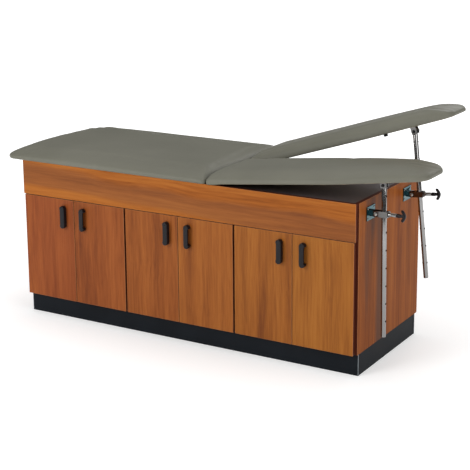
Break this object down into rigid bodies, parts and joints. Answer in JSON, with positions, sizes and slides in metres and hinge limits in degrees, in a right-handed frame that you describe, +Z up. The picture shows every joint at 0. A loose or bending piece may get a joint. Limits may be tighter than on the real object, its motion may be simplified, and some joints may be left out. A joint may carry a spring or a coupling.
{
  "type": "medical treatment table",
  "caption": "Upholstered treatment table on a laminate cabinet with paired doors, and two foot sections that lift separately on pinned struts.",
  "frame": {"origin": "on the floor, under the middle of the cabinet's length and depth, on the bottom face of the plinth's centre rail", "axes": "+X along the table to the foot end, +Y from the doors to the back, +Z up"},
  "size_m": [2.0618, 0.694, 1.0799],
  "materials": {
    "laminate": "satin cherry-pattern laminate with fine dark grain",
    "interior": "pale melamine board",
    "plywood": "bare plywood",
    "plinth": "matt black laminate",
    "deck": "dark grey laminate",
    "vinyl": "warm grey upholstery vinyl over foam, fine grain",
    "black_plastic": "moulded black, satin",
    "rubber": "matt black rubber",
    "chrome": "bright chrome plate",
    "steel": "zinc-plated steel"
  },
  "bodies": {
    "cabinet": {"plinth_front": "plinth", "plinth_back": "plinth", "plinth_left": "plinth", "plinth_right": "plinth", "plinth_centre_rail": "plinth", "end_panel_left": "laminate", "end_panel_right": "laminate", "floor_panel": "interior", "partition_left": "interior", "partition_right": "interior", "back_panel": "laminate", "top_deck": "deck", "apron": "laminate", "shelf_left": "interior", "shelf_middle": "interior", "shelf_right": "interior", "main_pad_board": "plywood", "main_cushion": "vinyl", "hinge_leaf_fixed_near": "steel", "hinge_leaf_fixed_far": "steel", "hinge_pin_near": "steel", "hinge_pin_far": "steel", "guide_bracket_near": "chrome", "guide_bracket_far": "chrome", "guide_bolt_near": "steel", "guide_bolt_far": "steel"},
    "door_1": {"door_1": "laminate", "door_pull_1": "black_plastic"},
    "door_2": {"door_2": "laminate", "door_pull_2": "black_plastic"},
    "door_3": {"door_3": "laminate", "door_pull_3": "black_plastic"},
    "door_4": {"door_4": "laminate", "door_pull_4": "black_plastic"},
    "door_5": {"door_5": "laminate", "door_pull_5": "black_plastic"},
    "door_6": {"door_6": "laminate", "door_pull_6": "black_plastic"},
    "leg_near": {"leg_board_near": "plywood", "leg_cushion_near": "vinyl", "hinge_leaf_moving_near": "steel", "clevis_near": "chrome", "clevis_bolt_near": "black_plastic", "leg_bumper_near": "rubber"},
    "leg_far": {"leg_board_far": "plywood", "leg_cushion_far": "vinyl", "hinge_leaf_moving_far": "steel", "clevis_far": "chrome", "clevis_bolt_far": "black_plastic", "leg_bumper_far": "rubber"},
    "strut_near": {"strut_tube_near": "chrome"},
    "strut_far": {"strut_tube_far": "chrome"},
    "guide_near": {"guide_yoke_near": "chrome", "plunger_barrel_near": "chrome"},
    "guide_far": {"guide_yoke_far": "chrome", "plunger_barrel_far": "chrome"},
    "plunger_near": {"plunger_rod_near": "steel", "plunger_handle_near": "black_plastic"},
    "plunger_far": {"plunger_rod_far": "steel", "plunger_handle_far": "black_plastic"}
  },
  "joints": [
    {"name": "door_1_swing", "type": "hinge", "parent": "cabinet", "child": "door_1", "pos_m": [-0.8382, -0.3155, 0.335], "axis": [0, 0, -1], "range_deg": [0, 110]},
    {"name": "door_2_swing", "type": "hinge", "parent": "cabinet", "child": "door_2", "pos_m": [-0.2839, -0.3155, 0.335], "axis": [0, 0, 1], "range_deg": [0, 84]},
    {"name": "door_3_swing", "type": "hinge", "parent": "cabinet", "child": "door_3", "pos_m": [-0.2749, -0.3155, 0.335], "axis": [0, 0, -1], "range_deg": [0, 84]},
    {"name": "door_4_swing", "type": "hinge", "parent": "cabinet", "child": "door_4", "pos_m": [0.2749, -0.3155, 0.335], "axis": [0, 0, 1], "range_deg": [0, 84]},
    {"name": "door_5_swing", "type": "hinge", "parent": "cabinet", "child": "door_5", "pos_m": [0.2839, -0.3155, 0.335], "axis": [0, 0, -1], "range_deg": [0, 84]},
    {"name": "door_6_swing", "type": "hinge", "parent": "cabinet", "child": "door_6", "pos_m": [0.8382, -0.3155, 0.335], "axis": [0, 0, 1], "range_deg": [0, 110]},
    {"name": "leg_near_lift", "type": "hinge", "parent": "cabinet", "child": "leg_near", "pos_m": [0.1428, -0.156, 0.7373], "axis": [0, -1, 0], "range_deg": [-5.75, 34.5]},
    {"name": "leg_far_lift", "type": "hinge", "parent": "cabinet", "child": "leg_far", "pos_m": [0.1428, 0.189, 0.7373], "axis": [0, -1, 0], "range_deg": [-17.25, 23]},
    {"name": "strut_near_swing", "type": "hinge", "parent": "leg_near", "child": "strut_near", "pos_m": [0.9098, -0.1935, 0.795], "axis": [0, -1, 0], "range_deg": [-18.4, 3.5]},
    {"name": "strut_far_swing", "type": "hinge", "parent": "leg_far", "child": "strut_far", "pos_m": [0.8829, 0.172, 0.94675], "axis": [0, -1, 0], "range_deg": [-12.3, 9.3]},
    {"name": "guide_near_turn", "type": "hinge", "parent": "cabinet", "child": "guide_near", "pos_m": [0.8792, -0.1935, 0.674], "axis": [0, -1, 0], "range_deg": [-3.3, 17.1]},
    {"name": "guide_far_turn", "type": "hinge", "parent": "cabinet", "child": "guide_far", "pos_m": [0.8792, 0.172, 0.674], "axis": [0, -1, 0], "range_deg": [-9, 11.8]},
    {"name": "plunger_near_draw", "type": "slide", "parent": "guide_near", "child": "plunger_near", "axis": [0.9999, 0, 0.0116], "range_m": [0, 0.012], "stiffness_N_per_m": 700, "springref_m": -0.008},
    {"name": "plunger_far_draw", "type": "slide", "parent": "guide_far", "child": "plunger_far", "axis": [0.9946, 0, 0.1038], "range_m": [0, 0.012], "stiffness_N_per_m": 700, "springref_m": -0.008}
  ],
  "couplings": [
    {"joint": "strut_near_swing", "follows": "leg_near_lift", "ratio": -0.519},
    {"joint": "guide_near_turn", "follows": "leg_near_lift", "ratio": 0.481},
    {"joint": "strut_far_swing", "follows": "leg_far_lift", "ratio": -0.51},
    {"joint": "guide_far_turn", "follows": "leg_far_lift", "ratio": 0.49}
  ]
}
